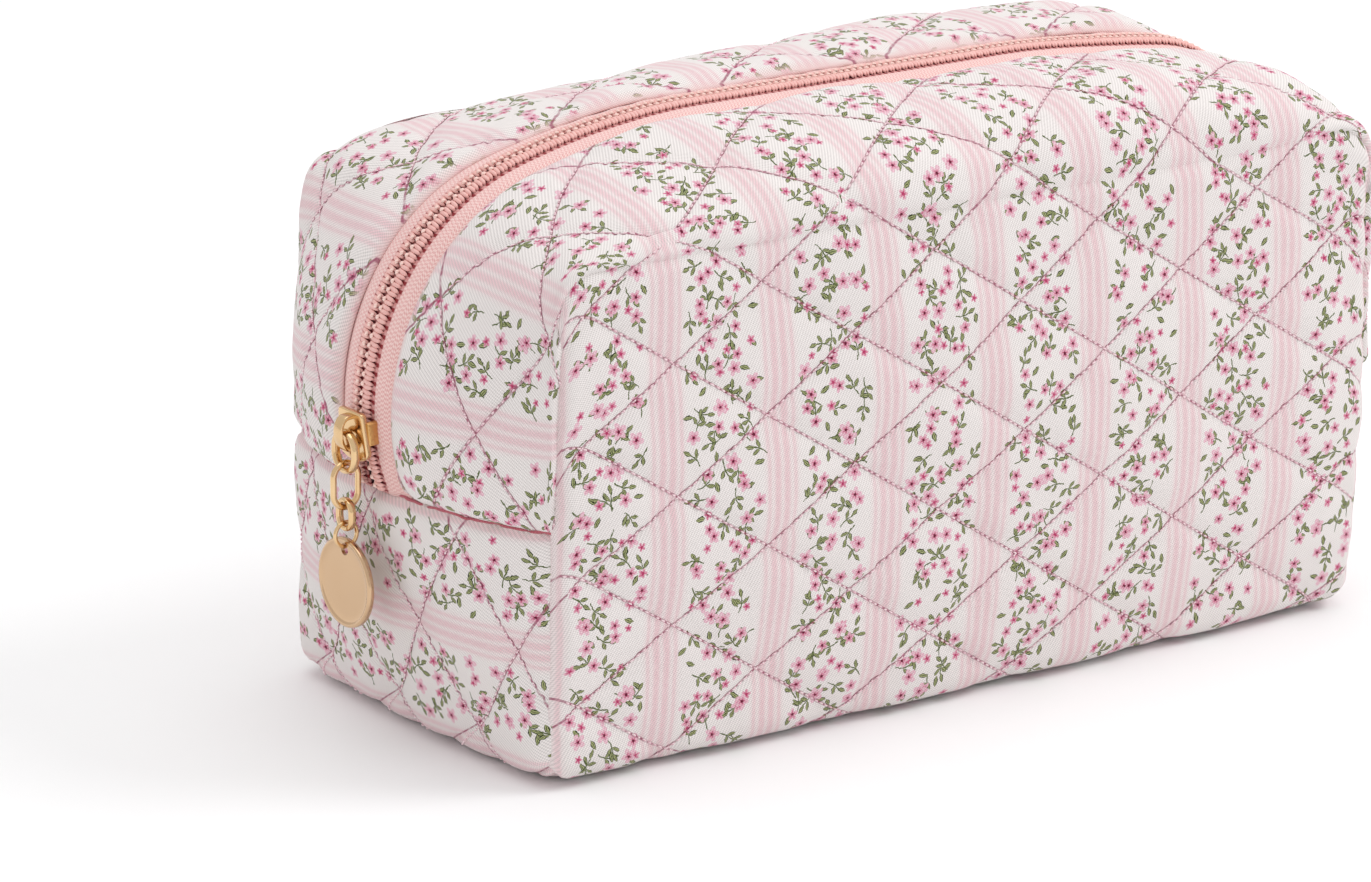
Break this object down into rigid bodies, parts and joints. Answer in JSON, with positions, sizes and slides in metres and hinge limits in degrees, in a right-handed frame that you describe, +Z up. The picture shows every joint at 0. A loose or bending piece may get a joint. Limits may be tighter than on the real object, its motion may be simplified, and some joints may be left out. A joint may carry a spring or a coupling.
{
  "type": "makeup bag",
  "caption": "Boxy quilted cloth makeup bag with a zip over the top and down both ends, and a slider with a short chain and a blank round disc.",
  "frame": {"origin": "centre of the base's flat underside", "axes": "+X along the bag from the slider's end to the other end, +Y from the front to the back, +Z up"},
  "size_m": [0.2354, 0.1, 0.1176],
  "materials": {
    "quilt": "matt quilted cotton, off-white ground with a small pink floral and stripe print",
    "lining": "matt plain weave",
    "tape": "matt woven zip tape",
    "coil": "semi-gloss coiled filament",
    "binding": "matt bias tape",
    "gold": "polished pale gold plate"
  },
  "bodies": {
    "bag": {"back_lining": "lining", "back_panel": "quilt", "base_lining": "lining", "base_panel": "quilt", "front_lining": "lining", "front_panel": "quilt", "left_back_seam_binding": "binding", "left_coil_back": "coil", "left_coil_front": "coil", "left_end_back": "quilt", "left_end_front": "quilt", "left_end_lower": "quilt", "left_end_seam_binding": "binding", "left_front_seam_binding": "binding", "left_lining_back": "lining", "left_lining_front": "lining", "left_lining_lower": "lining", "left_tape_back": "tape", "left_tape_front": "tape", "right_back_seam_binding": "binding", "right_coil_back": "coil", "right_coil_front": "coil", "right_end_back": "quilt", "right_end_front": "quilt", "right_end_lower": "quilt", "right_end_seam_binding": "binding", "right_front_seam_binding": "binding", "right_lining_back": "lining", "right_lining_front": "lining", "right_lining_lower": "lining", "right_tape_back": "tape", "right_tape_front": "tape"},
    "front_lip": {"front_lip": "quilt", "front_lip_coil": "coil", "front_lip_lining": "lining", "front_lip_tape": "tape"},
    "back_lip": {"back_lip": "quilt", "back_lip_coil": "coil", "back_lip_lining": "lining", "back_lip_tape": "tape"},
    "slider": {"slider_body": "gold", "slider_crown": "gold"},
    "pull_loop": {"pull_loop": "gold"},
    "long_link": {"long_link": "gold"},
    "small_link": {"small_link": "gold"},
    "jump_ring": {"jump_ring": "gold"},
    "pull_disc": {"pull_disc": "gold"}
  },
  "joints": [
    {"name": "slider_travel", "type": "hinge", "parent": "bag", "child": "slider", "pos_m": [-0.0675, 0, 0.066], "axis": [0, 1, 0], "range_deg": [-4, 66]},
    {"name": "front_lip_open", "type": "hinge", "parent": "bag", "child": "front_lip", "pos_m": [0, -0.0452, 0.1004], "axis": [1, 0, 0], "range_deg": [0, 60]},
    {"name": "back_lip_open", "type": "hinge", "parent": "bag", "child": "back_lip", "pos_m": [0, 0.0452, 0.1004], "axis": [-1, 0, 0], "range_deg": [0, 60]},
    {"name": "pull_swing", "type": "hinge", "parent": "slider", "child": "pull_loop", "pos_m": [-0.11745, 0, 0.06263], "axis": [0, 1, 0], "range_deg": [0, 110]},
    {"name": "long_link_swing", "type": "hinge", "parent": "pull_loop", "child": "long_link", "pos_m": [-0.11745, 0, 0.05503], "axis": [0, 1, 0], "range_deg": [0, 45]},
    {"name": "small_link_swing", "type": "hinge", "parent": "long_link", "child": "small_link", "pos_m": [-0.11745, 0, 0.04773], "axis": [1, 0, 0], "range_deg": [-30, 30]},
    {"name": "jump_ring_swing", "type": "hinge", "parent": "small_link", "child": "jump_ring", "pos_m": [-0.11745, 0, 0.04353], "axis": [0, 1, 0], "range_deg": [0, 25]},
    {"name": "disc_swing", "type": "hinge", "parent": "jump_ring", "child": "pull_disc", "pos_m": [-0.11745, 0, 0.03983], "axis": [1, 0, 0], "range_deg": [-30, 30]}
  ]
}
